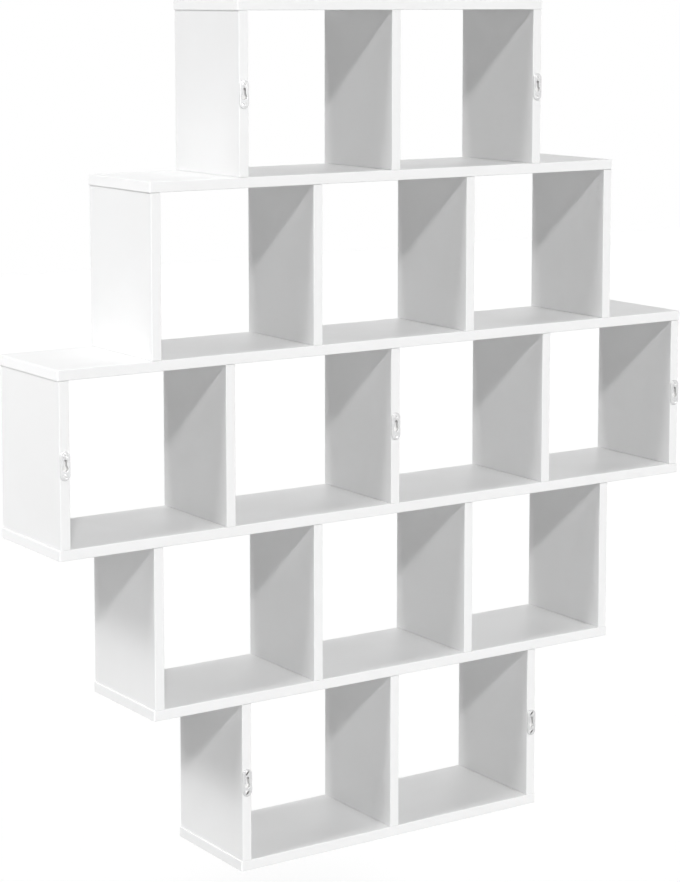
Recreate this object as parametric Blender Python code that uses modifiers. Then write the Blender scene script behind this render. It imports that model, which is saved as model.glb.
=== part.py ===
"""Stepped wall shelf of white boards with keyhole hangers, in metres with +Z up.

The origin lies on the wall plane, at the middle of the centre hanger plate. +Y points into the wall,
-Y into the room, and +X to the right of someone who faces the shelf from the room.
"""

import math

import bmesh
import bpy
from mathutils import Matrix

# Boards
SHELF_THICKNESS = 0.015
PANEL_THICKNESS = 0.015
BOARD_DEPTH = 0.176
SHELF_OVERHANG = 0.002
EDGE_RADIUS = 0.0015
EDGE_STEPS = 2

# Clear openings of the cells
CELL_HEIGHT = 0.229
TOP_ROW_CELL = 0.2415
STEP_ROW_OUTER_CELL = 0.247
STEP_ROW_CENTRE_CELL = 0.254
WIDE_ROW_OUTER_CELL = 0.2435
WIDE_ROW_INNER_CELL = 0.265

# Butt joints, each held by two dowels glued into the end of the upright panel
JOINT_GAP = 0.0003
DOWEL_DIAMETER = 0.008
DOWEL_REACH = 0.010
DOWEL_INSET = 0.035
DOWEL_STEPS = 10

# Keyhole hanger plates on the wall side edges
PLATE_THICKNESS = 0.0016
PLATE_EDGE_RADIUS = 0.0004
PLATE_SIDE_METAL = 0.0031
PLATE_END_METAL = 0.0017
PLATE_ARC_STEPS = 8
KEYHOLE_ENTRY_DIAMETER = 0.0086
KEYHOLE_SLOT_WIDTH = 0.005
KEYHOLE_TRAVEL = 0.010
KEYHOLE_METAL_ABOVE = 0.0017
KEYHOLE_METAL_BELOW = 0.0029
POCKET_CLEARANCE = 0.0007
POCKET_DEPTH = 0.0025

# Slotted countersunk screws that hold the plates
SCREW_LENGTH = 0.016
SCREW_TIP_LENGTH = 0.003
SCREW_SHANK_DIAMETER = 0.003
SCREW_HEAD_DIAMETER = 0.007
SCREW_HEAD_HEIGHT = 0.0015
SCREW_RIM_HEIGHT = 0.0002
SCREW_SINK = 0.0001
SCREW_SLOT_WIDTH = 0.0012
SCREW_SLOT_DEPTH = 0.0008
SCREW_STEPS = 12

# Shared by every piece that sits in a hole
FIT_CLEARANCE = 0.0003
CUT_OVERRUN = 0.002

TOP_CELLS = (TOP_ROW_CELL, TOP_ROW_CELL)
STEP_CELLS = (STEP_ROW_OUTER_CELL, STEP_ROW_CENTRE_CELL, STEP_ROW_OUTER_CELL)
WIDE_CELLS = (WIDE_ROW_OUTER_CELL, WIDE_ROW_INNER_CELL, WIDE_ROW_INNER_CELL, WIDE_ROW_OUTER_CELL)

# Rows of cells from the top down, and the shelves above, between and below them
ROWS = (
    ("top_row", TOP_CELLS),
    ("upper_step_row", STEP_CELLS),
    ("wide_row", WIDE_CELLS),
    ("lower_step_row", STEP_CELLS),
    ("bottom_row", TOP_CELLS),
)
SHELVES = (
    "top_shelf",
    "upper_step_shelf",
    "upper_wide_shelf",
    "lower_wide_shelf",
    "lower_step_shelf",
    "bottom_shelf",
)

# Upright panels of a row from left to right, by the number of its cells
PANELS = {
    2: ("left_end", "divider", "right_end"),
    3: ("left_end", "left_divider", "right_divider", "right_end"),
    4: ("left_end", "left_divider", "centre_divider", "right_divider", "right_end"),
}
HANGER_PANELS = (
    "top_row_left_end",
    "top_row_right_end",
    "wide_row_left_end",
    "wide_row_centre_divider",
    "wide_row_right_end",
    "bottom_row_left_end",
    "bottom_row_right_end",
)

# Angle at which the screw slots of a row stand, seen from the wall side
SLOT_ANGLES = {
    "top_row": math.radians(135),
    "wide_row": math.radians(135),
    "bottom_row": math.radians(45),
}

# Places that follow from the sizes
ROW_PITCH = CELL_HEIGHT + SHELF_THICKNESS
PANEL_HEIGHT = CELL_HEIGHT - 2 * JOINT_GAP
BOARD_BACK = -(PLATE_THICKNESS + JOINT_GAP)
BOARD_MIDDLE = BOARD_BACK - BOARD_DEPTH / 2
DOWEL_PLACES = (BOARD_BACK - DOWEL_INSET, BOARD_BACK - BOARD_DEPTH + DOWEL_INSET)

# Heights on the hanger plate, counted from the centre of its round entry hole
SCREW_HOLE_RADIUS = SCREW_HEAD_DIAMETER / 2 + FIT_CLEARANCE
UPPER_SCREW = KEYHOLE_TRAVEL + KEYHOLE_SLOT_WIDTH / 2 + KEYHOLE_METAL_ABOVE + SCREW_HOLE_RADIUS
LOWER_SCREW = -(KEYHOLE_ENTRY_DIAMETER / 2 + KEYHOLE_METAL_BELOW + SCREW_HOLE_RADIUS)
SCREW_SPACING = UPPER_SCREW - LOWER_SCREW
ENTRY_HEIGHT = -(UPPER_SCREW + LOWER_SCREW) / 2
PLATE_WIDTH = KEYHOLE_ENTRY_DIAMETER + 2 * PLATE_SIDE_METAL
PLATE_HEIGHT = SCREW_SPACING + 2 * (SCREW_HOLE_RADIUS + PLATE_END_METAL)

# Stands up a piece that is modelled lying flat, with its upper face to the wall and its +Y side up
FACING_WALL = Matrix.Rotation(math.pi, 4, "Z") @ Matrix.Rotation(math.pi / 2, 4, "X")


def row_width(cells):
    """Outer width of a row: its cells and the panels on both sides of each."""
    return sum(cells) + (len(cells) + 1) * PANEL_THICKNESS


def panel_places(cells):
    """Middle of each upright panel of a row, from left to right."""
    places = [PANEL_THICKNESS / 2 - row_width(cells) / 2]
    for cell in cells:
        places.append(places[-1] + cell + PANEL_THICKNESS)
    return places


def row_height(index):
    """Middle of a row, with the middle row at zero."""
    return (len(ROWS) // 2 - index) * ROW_PITCH


def shelf_height(index):
    """Middle of a shelf, half a pitch above the row that it covers."""
    return row_height(index) + ROW_PITCH / 2


def clear_scene():
    for obj in list(bpy.data.objects):
        bpy.data.objects.remove(obj, do_unlink=True)


def new_collection(name):
    collection = bpy.data.collections.new(name)
    bpy.context.scene.collection.children.link(collection)
    return collection


def new_material(name, colour, roughness, metallic):
    material = bpy.data.materials.new(name)
    material.use_nodes = True
    shader = material.node_tree.nodes["Principled BSDF"]
    shader.inputs["Base Color"].default_value = (*colour, 1)
    shader.inputs["Roughness"].default_value = roughness
    shader.inputs["Metallic"].default_value = metallic
    material.diffuse_color = (*colour, 1)
    return material


def new_object(name, mesh, collection):
    obj = bpy.data.objects.new(name, mesh)
    collection.objects.link(obj)
    return obj


def mesh_from(bm, name):
    mesh = bpy.data.meshes.new(name)
    bm.to_mesh(mesh)
    bm.free()
    return mesh


def new_cutter(name, mesh):
    cutter = new_object(name, mesh, cutters)
    cutter.hide_render = True
    cutter.display_type = "WIRE"
    return cutter


def apply_boolean(obj, cutter, operation="DIFFERENCE"):
    modifier = obj.modifiers.new(cutter.name, "BOOLEAN")
    modifier.operation = operation
    modifier.solver = "EXACT"
    modifier.object = cutter


def finished_mesh(obj):
    """The mesh of an object with its modifiers applied. The object is removed."""
    graph = bpy.context.evaluated_depsgraph_get()
    mesh = bpy.data.meshes.new_from_object(obj.evaluated_get(graph))
    mesh.name = obj.name
    bpy.data.objects.remove(obj, do_unlink=True)
    return mesh


def board(name, size, rounded_axes):
    """A box centred on the origin, with the edges along the given axes rounded."""
    bm = bmesh.new()
    bmesh.ops.create_cube(bm, size=1)
    bmesh.ops.scale(bm, vec=size, verts=bm.verts)
    rounded = []
    for edge in bm.edges:
        along = edge.verts[1].co - edge.verts[0].co
        if any(abs(along[axis]) > EDGE_RADIUS for axis in rounded_axes):
            rounded.append(edge)
    bmesh.ops.bevel(bm, geom=rounded, offset=EDGE_RADIUS, segments=EDGE_STEPS, profile=0.5, affect="EDGES")
    return mesh_from(bm, name)


def add_upright_cylinder(bm, radius, x, y, bottom, top):
    bmesh.ops.create_cone(
        bm,
        cap_ends=True,
        segments=DOWEL_STEPS,
        radius1=radius,
        radius2=radius,
        depth=top - bottom,
        matrix=Matrix.Translation((x, y, (bottom + top) / 2)),
    )


def arc(centre_y, radius, start, end):
    """Points of an arc about (0, centre_y), anticlockwise between two angles."""
    steps = max(2, round(PLATE_ARC_STEPS * (end - start) / math.pi))
    points = []
    for step in range(steps + 1):
        angle = start + (end - start) * step / steps
        points.append((radius * math.cos(angle), centre_y + radius * math.sin(angle)))
    return points


def round_ended(width, low_centre, high_centre):
    """Outline of an upright slot shape with half-round ends."""
    top = arc(high_centre, width / 2, 0, math.pi)
    bottom = arc(low_centre, width / 2, math.pi, 2 * math.pi)
    return top + bottom


def keyhole():
    """Outline of the round entry hole with the narrow slot above it."""
    slot_half = KEYHOLE_SLOT_WIDTH / 2
    entry_radius = KEYHOLE_ENTRY_DIAMETER / 2
    mouth = math.asin(slot_half / entry_radius)
    slot = arc(ENTRY_HEIGHT + KEYHOLE_TRAVEL, slot_half, 0, math.pi)
    entry = arc(ENTRY_HEIGHT, entry_radius, math.pi / 2 + mouth, 5 * math.pi / 2 - mouth)
    return slot + entry


def flat_piece(name, outline, low, high):
    """A mesh of constant thickness, filled between two heights. Its outline comes from a flat curve."""
    curve = bpy.data.curves.new(name, "CURVE")
    curve.dimensions = "2D"
    curve.fill_mode = "BOTH"
    curve.extrude = (high - low) / 2
    spline = curve.splines.new("POLY")
    spline.points.add(len(outline) - 1)
    for point, (x, y) in zip(spline.points, outline):
        point.co = (x, y, 0, 1)
    spline.use_cyclic_u = True
    mesh = finished_mesh(new_object(name, curve, cutters))
    bm = bmesh.new()
    bm.from_mesh(mesh)
    bmesh.ops.remove_doubles(bm, verts=bm.verts, dist=PLATE_EDGE_RADIUS / 100)
    bmesh.ops.recalc_face_normals(bm, faces=bm.faces)
    bmesh.ops.translate(bm, vec=(0, 0, (low + high) / 2), verts=bm.verts)
    bm.to_mesh(mesh)
    bm.free()
    return mesh


def turned_screw(name, grown, top):
    """A screw lying along -Z with its head at zero, or the room that it needs if it is grown."""
    head = SCREW_HEAD_DIAMETER / 2 + grown
    shank = SCREW_SHANK_DIAMETER / 2 + grown
    profile = (
        (0, top),
        (head, top),
        (head, -SCREW_RIM_HEIGHT),
        (shank, -SCREW_HEAD_HEIGHT),
        (shank, SCREW_TIP_LENGTH - SCREW_LENGTH),
        (0, -SCREW_LENGTH - grown),
    )
    bm = bmesh.new()
    vertices = [bm.verts.new((radius, 0, height)) for radius, height in profile]
    for first, second in zip(vertices, vertices[1:]):
        bm.edges.new((first, second))
    obj = new_object(name, mesh_from(bm, name), cutters)
    turn = obj.modifiers.new("turn", "SCREW")
    turn.steps = SCREW_STEPS
    turn.render_steps = SCREW_STEPS
    turn.use_merge_vertices = True
    turn.merge_threshold = FIT_CLEARANCE / 100
    return finished_mesh(obj)


def smooth(mesh):
    mesh.shade_smooth()
    mesh.set_sharp_from_angle(angle=math.radians(35))


def screw_mesh(slot_angle):
    """The screw with a straight slot across its head, at an angle to its own +X side."""
    bm = bmesh.new()
    bmesh.ops.create_cube(bm, size=1)
    length = SCREW_HEAD_DIAMETER + 2 * CUT_OVERRUN
    height = SCREW_SLOT_DEPTH + CUT_OVERRUN
    bmesh.ops.scale(bm, vec=(length, SCREW_SLOT_WIDTH, height), verts=bm.verts)
    bmesh.ops.translate(bm, vec=(0, 0, CUT_OVERRUN - height / 2), verts=bm.verts)
    bmesh.ops.rotate(bm, matrix=Matrix.Rotation(slot_angle, 3, "Z"), verts=bm.verts)
    slot = new_cutter("screw_slot", mesh_from(bm, "screw_slot"))
    screw = new_object("hanger_screw", turned_screw("hanger_screw", 0, 0), cutters)
    apply_boolean(screw, slot)
    mesh = finished_mesh(screw)
    smooth(mesh)
    return mesh


def screw_rooms():
    """Cutter that clears both screws of a hanger, lying flat with the plate's outer face at zero."""
    bm = bmesh.new()
    room = turned_screw("screw_room", FIT_CLEARANCE, CUT_OVERRUN)
    for side in (-1, 1):
        place = Matrix.Translation((0, side * SCREW_SPACING / 2, -SCREW_SINK))
        placed = room.copy()
        placed.transform(place)
        bm.from_mesh(placed)
    return new_cutter("screw_rooms", mesh_from(bm, "screw_rooms"))


def plate_mesh(rooms):
    """The hanger plate, lying flat with its outer face at zero."""
    end_centre = (PLATE_HEIGHT - PLATE_WIDTH) / 2
    outline = round_ended(PLATE_WIDTH, -end_centre, end_centre)
    plate = new_object("hanger_plate", flat_piece("hanger_plate", outline, -PLATE_THICKNESS, 0), cutters)
    rounding = plate.modifiers.new("rounded_rim", "BEVEL")
    rounding.width = PLATE_EDGE_RADIUS
    rounding.segments = 1
    rounding.limit_method = "ANGLE"
    rounding.angle_limit = math.radians(60)
    opening = flat_piece("keyhole", keyhole(), -PLATE_THICKNESS - CUT_OVERRUN, CUT_OVERRUN)
    apply_boolean(plate, new_cutter("keyhole", opening))
    apply_boolean(plate, rooms)
    mesh = finished_mesh(plate)
    smooth(mesh)
    return mesh


def panel(name):
    """An upright panel with two dowels standing out of each end, centred on its row's middle."""
    size = (PANEL_THICKNESS, BOARD_DEPTH, PANEL_HEIGHT)
    mesh = board(name, size, (2,))
    mesh.transform(Matrix.Translation((0, BOARD_MIDDLE, 0)))
    obj = new_object(name, mesh, cutters)
    bm = bmesh.new()
    for y in DOWEL_PLACES:
        for side in (-1, 1):
            tip = side * (PANEL_HEIGHT / 2 + JOINT_GAP + DOWEL_REACH)
            root = side * (PANEL_HEIGHT / 2 - DOWEL_REACH)
            add_upright_cylinder(bm, DOWEL_DIAMETER / 2, 0, y, min(tip, root), max(tip, root))
    dowels = new_cutter(name + "_dowels", mesh_from(bm, name + "_dowels"))
    apply_boolean(obj, dowels, "UNION")
    return obj


def hanger_panel(name, rooms):
    """A panel whose wall side edge is drilled for the screws and routed behind the keyhole."""
    obj = panel(name)
    rooms.matrix_world = FACING_WALL
    width = KEYHOLE_ENTRY_DIAMETER + 2 * POCKET_CLEARANCE
    outline = round_ended(width, ENTRY_HEIGHT, ENTRY_HEIGHT + KEYHOLE_TRAVEL)
    room = flat_piece("keyhole_pocket", outline, BOARD_BACK - POCKET_DEPTH, CUT_OVERRUN)
    pocket = new_cutter("keyhole_pocket", room)
    pocket.matrix_world = FACING_WALL
    apply_boolean(obj, pocket)
    apply_boolean(obj, rooms)
    return obj


def add_part(name, mesh, material, place):
    obj = new_object(name, mesh, parts)
    obj.matrix_world = place
    obj.parent = wall_point
    if not mesh.materials:
        mesh.materials.append(material)
    return obj


def add_shelf(index):
    """A shelf that overhangs the wider of the rows above and below it, with a socket for each dowel."""
    name = SHELVES[index]
    neighbours = []
    if index > 0:
        neighbours.append((1, ROWS[index - 1][1]))
    if index < len(ROWS):
        neighbours.append((-1, ROWS[index][1]))
    length = max(row_width(cells) for _, cells in neighbours) + 2 * SHELF_OVERHANG
    mesh = board(name, (length, BOARD_DEPTH, SHELF_THICKNESS), (0, 1, 2))
    mesh.transform(Matrix.Translation((0, BOARD_MIDDLE, 0)))
    bm = bmesh.new()
    for side, cells in neighbours:
        face = side * SHELF_THICKNESS / 2
        outside = face + side * CUT_OVERRUN
        inside = face - side * (DOWEL_REACH + FIT_CLEARANCE)
        for x in panel_places(cells):
            for y in DOWEL_PLACES:
                radius = DOWEL_DIAMETER / 2 + FIT_CLEARANCE
                add_upright_cylinder(bm, radius, x, y, min(outside, inside), max(outside, inside))
    place = Matrix.Translation((0, 0, shelf_height(index)))
    sockets = new_cutter(name + "_sockets", mesh_from(bm, name + "_sockets"))
    sockets.matrix_world = place
    shelf = add_part(name, mesh, white_board, place)
    apply_boolean(shelf, sockets)


def add_hanger(name, screw, place):
    """A plate on the wall side edge of a panel, and its two screws."""
    facing = place @ FACING_WALL
    add_part(name + "_hanger", hanger_plate, plated_steel, facing)
    for end, side in (("upper", 1), ("lower", -1)):
        offset = Matrix.Translation((0, -SCREW_SINK, side * SCREW_SPACING / 2))
        add_part(f"{name}_hanger_{end}_screw", screw, bright_steel, place @ offset @ FACING_WALL)


def add_row(index):
    row, cells = ROWS[index]
    for part, x in zip(PANELS[len(cells)], panel_places(cells)):
        name = f"{row}_{part}"
        place = Matrix.Translation((x, 0, row_height(index)))
        if name in HANGER_PANELS:
            add_part(name, drilled_panel, white_board, place)
            add_hanger(name, hanger_screws[row], place)
        else:
            add_part(name, plain_panel, white_board, place)


clear_scene()
parts = new_collection("wall_shelf")
cutters = new_collection("cutters")
wall_point = new_object("wall_point", None, parts)

white_board = new_material("white_board", (0.86, 0.86, 0.86), 0.42, 0)
plated_steel = new_material("plated_steel", (0.72, 0.72, 0.72), 0.3, 1)
bright_steel = new_material("bright_steel", (0.8, 0.8, 0.8), 0.25, 1)

screw_cutter = screw_rooms()
hanger_plate = plate_mesh(screw_cutter)
hanger_screws = {row: screw_mesh(angle) for row, angle in SLOT_ANGLES.items()}
plain_panel = finished_mesh(panel("plain_panel"))
drilled_panel = finished_mesh(hanger_panel("drilled_panel", screw_cutter))

for shelf_index in range(len(SHELVES)):
    add_shelf(shelf_index)
for row_index in range(len(ROWS)):
    add_row(row_index)
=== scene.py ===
# %% [markdown]
# # A stepped wall shelf of white boards
# Six shelves and nineteen uprights make open cells in rows of two, three, four, three and two. The picture
# shows the side that goes to the wall, with seven keyhole hangers screwed to the boards' edges.
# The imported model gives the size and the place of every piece. This script dresses each one: boards with
# rounded, banded edges, pressed steel hangers and slotted screws.

# %% Load the frame
import math

import bmesh
import bpy
from mathutils import Matrix, Vector


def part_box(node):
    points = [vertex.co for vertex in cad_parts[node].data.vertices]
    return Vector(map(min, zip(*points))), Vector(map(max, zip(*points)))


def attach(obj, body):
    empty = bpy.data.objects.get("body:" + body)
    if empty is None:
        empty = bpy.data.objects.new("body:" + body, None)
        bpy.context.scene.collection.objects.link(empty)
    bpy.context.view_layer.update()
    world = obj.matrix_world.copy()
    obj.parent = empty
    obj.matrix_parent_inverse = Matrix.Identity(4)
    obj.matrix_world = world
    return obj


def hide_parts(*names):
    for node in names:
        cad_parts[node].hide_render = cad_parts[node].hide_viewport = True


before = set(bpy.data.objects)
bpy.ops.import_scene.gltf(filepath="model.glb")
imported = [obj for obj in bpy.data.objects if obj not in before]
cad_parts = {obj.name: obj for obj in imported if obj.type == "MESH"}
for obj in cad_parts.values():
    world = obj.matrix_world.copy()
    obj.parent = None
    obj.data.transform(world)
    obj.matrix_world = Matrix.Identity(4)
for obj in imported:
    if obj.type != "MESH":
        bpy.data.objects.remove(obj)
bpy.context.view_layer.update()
print("nodes:", len(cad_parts))

# %% [markdown]
# ## Camera
# The picture is taken from the wall side, from the left and from as high as the top shelf. Its uprights stay
# upright, so the real camera looked level and its lens was shifted down. A shift stays in every other view,
# where it would push the shelf out of the frame. So a small tilt takes over most of it, and the shift keeps
# the rest. Place, angles and focal length are fitted to the board edges.

# %% Camera
IMAGE_HEIGHT = 882
CAMERA_PLACE = (1.9707, 2.7908, 0.6175)
CAMERA_AZIMUTH = math.radians(146.1473)
CAMERA_TILT = math.radians(6.5735)
CAMERA_SHIFT = -0.19
FOCAL_PIXELS = 2379.2

camera_data = bpy.data.cameras.new("camera")
camera_data.lens = camera_data.sensor_width * FOCAL_PIXELS / IMAGE_HEIGHT
camera_data.shift_y = CAMERA_SHIFT
camera = bpy.data.objects.new("camera", camera_data)
camera.location = CAMERA_PLACE
camera.rotation_euler = (math.pi / 2 - CAMERA_TILT, 0, CAMERA_AZIMUTH)
bpy.context.collection.objects.link(camera)
bpy.context.scene.camera = camera
print("lens:", round(camera_data.lens, 1), "mm")

# %% [markdown]
# ## Helpers for node trees
# Materials and Geometry Nodes are both trees of nodes and links. These helpers keep each node on one line:
# an input is a plain value, or the output of another node that is linked to it.


# %% Node helpers
def add_node(tree, kind, inputs=None, **settings):
    """A new node. Inputs are named or numbered, and take a value or a link."""
    made = tree.nodes.new(kind)
    for name, value in settings.items():
        setattr(made, name, value)
    for name, value in (inputs or {}).items():
        if isinstance(value, bpy.types.NodeSocket):
            tree.links.new(value, made.inputs[name])
        else:
            made.inputs[name].default_value = value
    return made


def calc(tree, operation, *values):
    """A sum on single numbers."""
    return add_node(tree, "ShaderNodeMath", dict(enumerate(values)), operation=operation).outputs[0]


def vector_calc(tree, operation, *values):
    """A sum on vectors."""
    return add_node(tree, "ShaderNodeVectorMath", dict(enumerate(values)), operation=operation).outputs[0]


def new_tree(name, kind, inputs, outputs):
    """A node group with named inputs and outputs, and the two nodes that hold them."""
    tree = bpy.data.node_groups.new(name, kind)
    for title, socket, value in inputs:
        made = tree.interface.new_socket(title, in_out="INPUT", socket_type="NodeSocket" + socket)
        if value is not None:
            made.default_value = value
    for title, socket in outputs:
        tree.interface.new_socket(title, in_out="OUTPUT", socket_type="NodeSocket" + socket)
    return tree, tree.nodes.new("NodeGroupInput").outputs, tree.nodes.new("NodeGroupOutput").inputs


# %% [markdown]
# ## Effects that the finishes share
# White furniture board is never one flat white. The press plate leaves a fine pearl grain, hands and cloths
# leave a haze in the gloss, and arrises rub. Metal shows the strokes of the rolling mill. Each effect is a
# shader group that is built once, and every material sets its own sizes.

# %% Pearl grain of a pressed surface
FLECK_SHARE = 0.35

pearl, given, result = new_tree(
    "pearl_grain",
    "ShaderNodeTree",
    [("Vector", "Vector", None), ("Grain Size", "Float", 0.0008)],
    [("Height", "Float"), ("Fleck", "Float")],
)
per_metre = calc(pearl, "DIVIDE", 1.0, given["Grain Size"])
pebbles = add_node(
    pearl, "ShaderNodeTexNoise", {"Vector": given["Vector"], "Scale": per_metre, "Detail": 2.0}
)
flecks = add_node(pearl, "ShaderNodeTexVoronoi", {"Vector": given["Vector"], "Scale": per_metre})
softened = calc(pearl, "MULTIPLY", flecks.outputs["Distance"], FLECK_SHARE)
pearl.links.new(calc(pearl, "ADD", pebbles.outputs["Fac"], softened), result["Height"])
pearl.links.new(flecks.outputs["Distance"], result["Fleck"])
print("group:", pearl.name)

# %% Haze of handling
CLEAR_BELOW = 0.3
HAZY_ABOVE = 0.7

haze, given, result = new_tree(
    "handling_haze",
    "ShaderNodeTree",
    [("Vector", "Vector", None), ("Patch Size", "Float", 0.12)],
    [("Haze", "Float")],
)
per_metre = calc(haze, "DIVIDE", 1.0, given["Patch Size"])
patches = add_node(
    haze,
    "ShaderNodeTexNoise",
    {"Vector": given["Vector"], "Scale": per_metre, "Detail": 4.0, "Distortion": 0.6},
)
spread = add_node(
    haze,
    "ShaderNodeMapRange",
    {"Value": patches.outputs["Fac"], "From Min": CLEAR_BELOW, "From Max": HAZY_ABOVE},
    interpolation_type="SMOOTHSTEP",
)
haze.links.new(spread.outputs[0], result["Haze"])
print("group:", haze.name)

# %% Wear along arrises
WEAR_FADE = 0.25

wear, given, result = new_tree(
    "arris_wear",
    "ShaderNodeTree",
    [
        ("Vector", "Vector", None),
        ("Arris", "Float", 0.0),
        ("Patch Size", "Float", 0.01),
        ("Reach", "Float", 0.5),
    ],
    [("Worn", "Float")],
)
per_metre = calc(wear, "DIVIDE", 1.0, given["Patch Size"])
rubs = add_node(wear, "ShaderNodeTexNoise", {"Vector": given["Vector"], "Scale": per_metre, "Detail": 5.0})
threshold = calc(wear, "SUBTRACT", 1.0, given["Reach"])
# On the plated metal this arris mask also lays a painted highlight on the rims.
wear_and_rim_light = calc(wear, "MULTIPLY", given["Arris"], rubs.outputs["Fac"])
edge = add_node(
    wear,
    "ShaderNodeMapRange",
    {"Value": wear_and_rim_light, "From Min": threshold, "From Max": calc(wear, "ADD", threshold, WEAR_FADE)},
    interpolation_type="SMOOTHSTEP",
)
wear.links.new(edge.outputs[0], result["Worn"])
print("group:", wear.name)

# %% Strokes of rolled or extruded stock
strokes, given, result = new_tree(
    "drawn_strokes",
    "ShaderNodeTree",
    [("Vector", "Vector", None), ("Across", "Float", 0.0004), ("Along", "Float", 0.03)],
    [("Stroke", "Float")],
)
fine = calc(strokes, "DIVIDE", 1.0, given["Across"])
long = calc(strokes, "DIVIDE", 1.0, given["Along"])
stretch = add_node(strokes, "ShaderNodeCombineXYZ", {"X": long, "Y": fine, "Z": fine})
drawn = vector_calc(strokes, "MULTIPLY", given["Vector"], stretch.outputs[0])
lines = add_node(strokes, "ShaderNodeTexNoise", {"Vector": drawn, "Scale": 1.0, "Detail": 3.0})
strokes.links.new(lines.outputs["Fac"], result["Stroke"])
print("group:", strokes.name)

# %% [markdown]
# ## Finishes
# The boards have white melamine on their two sheets and a white plastic band along their edges. The band is
# a touch whiter and smoother, with faint lines along its length. Cut ends and the routed pockets behind the
# hangers are sealed chip. The hangers have a satin plating, and the screws are a little brighter. Their rims
# are lighter, partly for wear and partly as a painted highlight. Painted shade darkens some of the screws'
# slots, so the metal reads two attributes: where a slot is, and how much painted shade lies in it.


# %% Material helpers
def new_material(name, colour):
    """A material with its Principled shader, in the colour that plain views show."""
    material = bpy.data.materials.new(name)
    material.use_nodes = True
    material.diffuse_color = (*colour, 1)
    tree = material.node_tree
    return material, tree, tree.nodes["Principled BSDF"]


def use_group(tree, group, **inputs):
    """A shared effect placed in a material. Underscores in the names stand for spaces."""
    named = {name.replace("_", " "): value for name, value in inputs.items()}
    return add_node(tree, "ShaderNodeGroup", named, node_tree=group).outputs


def blend(tree, amount, low, high):
    """A colour between two, by an amount from 0 to 1."""
    # The Mix node has sockets for every kind of data. Its colours go in at 6 and 7 and come out at 2.
    mix = add_node(tree, "ShaderNodeMix", {0: amount}, data_type="RGBA")
    for socket, value in ((mix.inputs[6], low), (mix.inputs[7], high)):
        if isinstance(value, bpy.types.NodeSocket):
            tree.links.new(value, socket)
        else:
            socket.default_value = (*value, 1)
    return mix.outputs[2]


def between(tree, amount, low, high):
    """A number between two, by an amount from 0 to 1."""
    inputs = {"Value": amount, "To Min": low, "To Max": high}
    return add_node(tree, "ShaderNodeMapRange", inputs).outputs[0]


def relief(tree, height, strength, distance):
    """A normal that is tilted by a height map."""
    inputs = {"Height": height, "Strength": strength, "Distance": distance}
    return add_node(tree, "ShaderNodeBump", inputs).outputs["Normal"]


# %% Melamine sheets
WHITE = (0.85, 0.852, 0.853)
SHADED_WHITE = (0.835, 0.836, 0.835)
RUBBED_WHITE = (0.79, 0.785, 0.775)

white_melamine, tree, shader = new_material("white_melamine", WHITE)
place = add_node(tree, "ShaderNodeTexCoord").outputs["Object"]
grain = use_group(tree, pearl, Vector=place, Grain_Size=0.0009)
hazed = use_group(tree, haze, Vector=place, Patch_Size=0.16)
arris = add_node(tree, "ShaderNodeAttribute", attribute_name="arris").outputs["Fac"]
worn = use_group(tree, wear, Vector=place, Arris=arris, Patch_Size=0.02, Reach=0.45)
paper = blend(tree, hazed["Haze"], WHITE, SHADED_WHITE)
tree.links.new(blend(tree, worn["Worn"], paper, RUBBED_WHITE), shader.inputs["Base Color"])
tree.links.new(between(tree, hazed["Haze"], low=0.34, high=0.42), shader.inputs["Roughness"])
tree.links.new(relief(tree, grain["Height"], strength=0.15, distance=0.00004), shader.inputs["Normal"])
print("finish:", white_melamine.name)

# %% Plastic edge band
BAND_WHITE = (0.908, 0.91, 0.911)
BAND_SHADE = (0.89, 0.891, 0.891)

white_edge_band, tree, shader = new_material("white_edge_band", BAND_WHITE)
along_board = add_node(tree, "ShaderNodeAttribute", attribute_name="board_place").outputs["Vector"]
place = add_node(tree, "ShaderNodeTexCoord").outputs["Object"]
drawn = use_group(tree, strokes, Vector=along_board, Across=0.0006, Along=0.08)
hazed = use_group(tree, haze, Vector=place, Patch_Size=0.09)
arris = add_node(tree, "ShaderNodeAttribute", attribute_name="arris").outputs["Fac"]
worn = use_group(tree, wear, Vector=place, Arris=arris, Patch_Size=0.014, Reach=0.5)
plastic = blend(tree, drawn["Stroke"], BAND_WHITE, BAND_SHADE)
tree.links.new(blend(tree, worn["Worn"], plastic, RUBBED_WHITE), shader.inputs["Base Color"])
tree.links.new(between(tree, hazed["Haze"], low=0.3, high=0.38), shader.inputs["Roughness"])
tree.links.new(relief(tree, drawn["Stroke"], strength=0.12, distance=0.00003), shader.inputs["Normal"])
print("finish:", white_edge_band.name)

# %% Sealed chip of cut ends and pockets
CHIP_PALE = (0.88, 0.878, 0.873)
CHIP_DARK = (0.81, 0.806, 0.798)

sealed_chip, tree, shader = new_material("sealed_chip", CHIP_PALE)
place = add_node(tree, "ShaderNodeTexCoord").outputs["Object"]
chips = use_group(tree, pearl, Vector=place, Grain_Size=0.0022)
tree.links.new(blend(tree, chips["Fleck"], CHIP_PALE, CHIP_DARK), shader.inputs["Base Color"])
tree.links.new(between(tree, chips["Fleck"], low=0.6, high=0.8), shader.inputs["Roughness"])
tree.links.new(relief(tree, chips["Height"], strength=0.4, distance=0.0002), shader.inputs["Normal"])
print("finish:", sealed_chip.name)

# %% Plated steel of hangers and screws
# Painted shade: the dark colour laid into the slots of the bottom row's screws.
SLOT_SHADE_COLOUR = (0.12, 0.118, 0.114)
STROKE_SMOOTHER = 0.06
STROKE_ROUGHER = 0.08
STROKES_UPRIGHT = (0, math.pi / 2, 0)


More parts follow.
